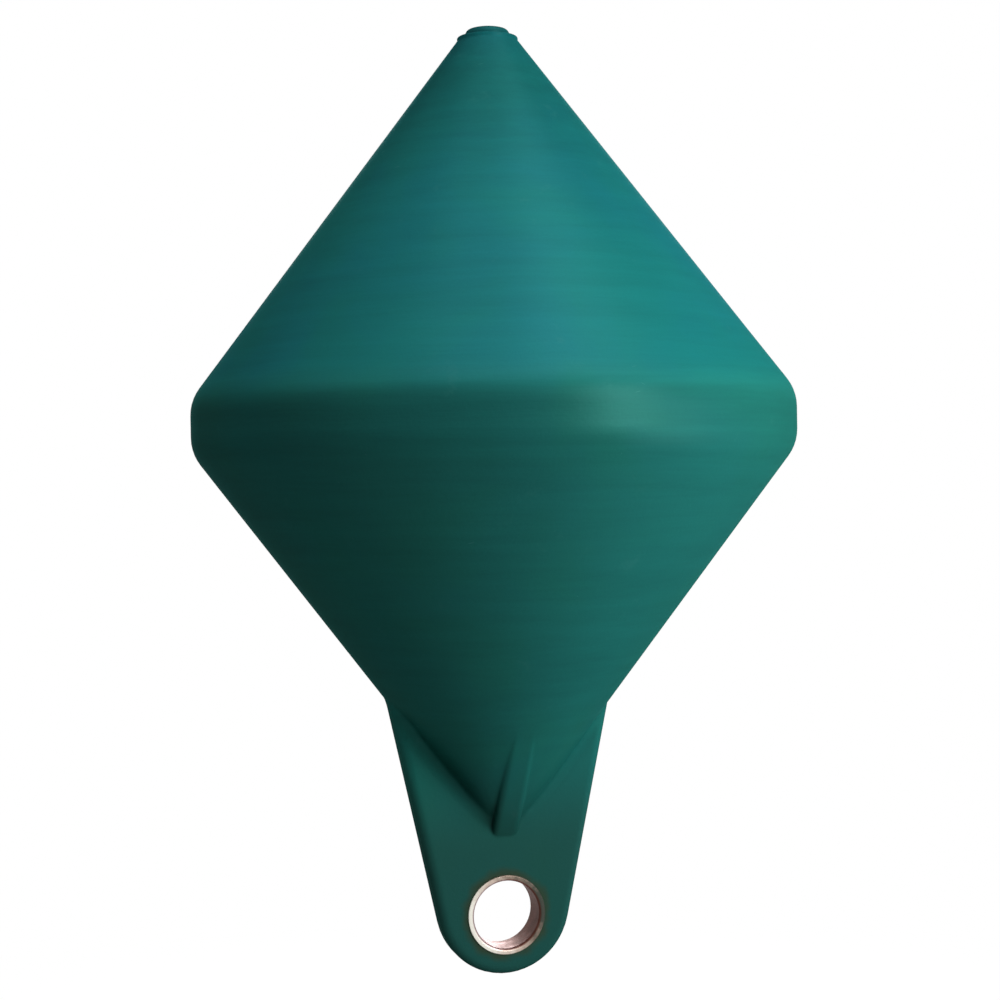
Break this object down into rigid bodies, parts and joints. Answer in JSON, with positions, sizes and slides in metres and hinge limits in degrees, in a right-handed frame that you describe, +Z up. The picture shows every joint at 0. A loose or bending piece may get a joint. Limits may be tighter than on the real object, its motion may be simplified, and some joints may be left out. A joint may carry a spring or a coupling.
{
  "type": "navigation buoy",
  "caption": "Double-cone marker buoy: a moulded plastic float with a mooring lug below, a domed filling plug at its apex and a metal sleeve in the lug's eye.",
  "frame": {"origin": "on the float's axis at its moored waterline, 31 mm below the middle of the belt", "axes": "+Z up along the float's axis, X across the mooring lug, Y along the axis of its eye"},
  "size_m": [0.3199, 0.32, 0.5043],
  "materials": {
    "float_plastic": "satin sea-green polyethylene with faint turning lines and scuffs",
    "plug_plastic": "satin sea-green polyethylene",
    "sleeve_metal": "bright lips, brown and tarnished in the bore"
  },
  "bodies": {
    "root": {"float_body": "float_plastic", "fill_plug": "plug_plastic", "eye_sleeve": "sleeve_metal"}
  },
  "joints": []
}
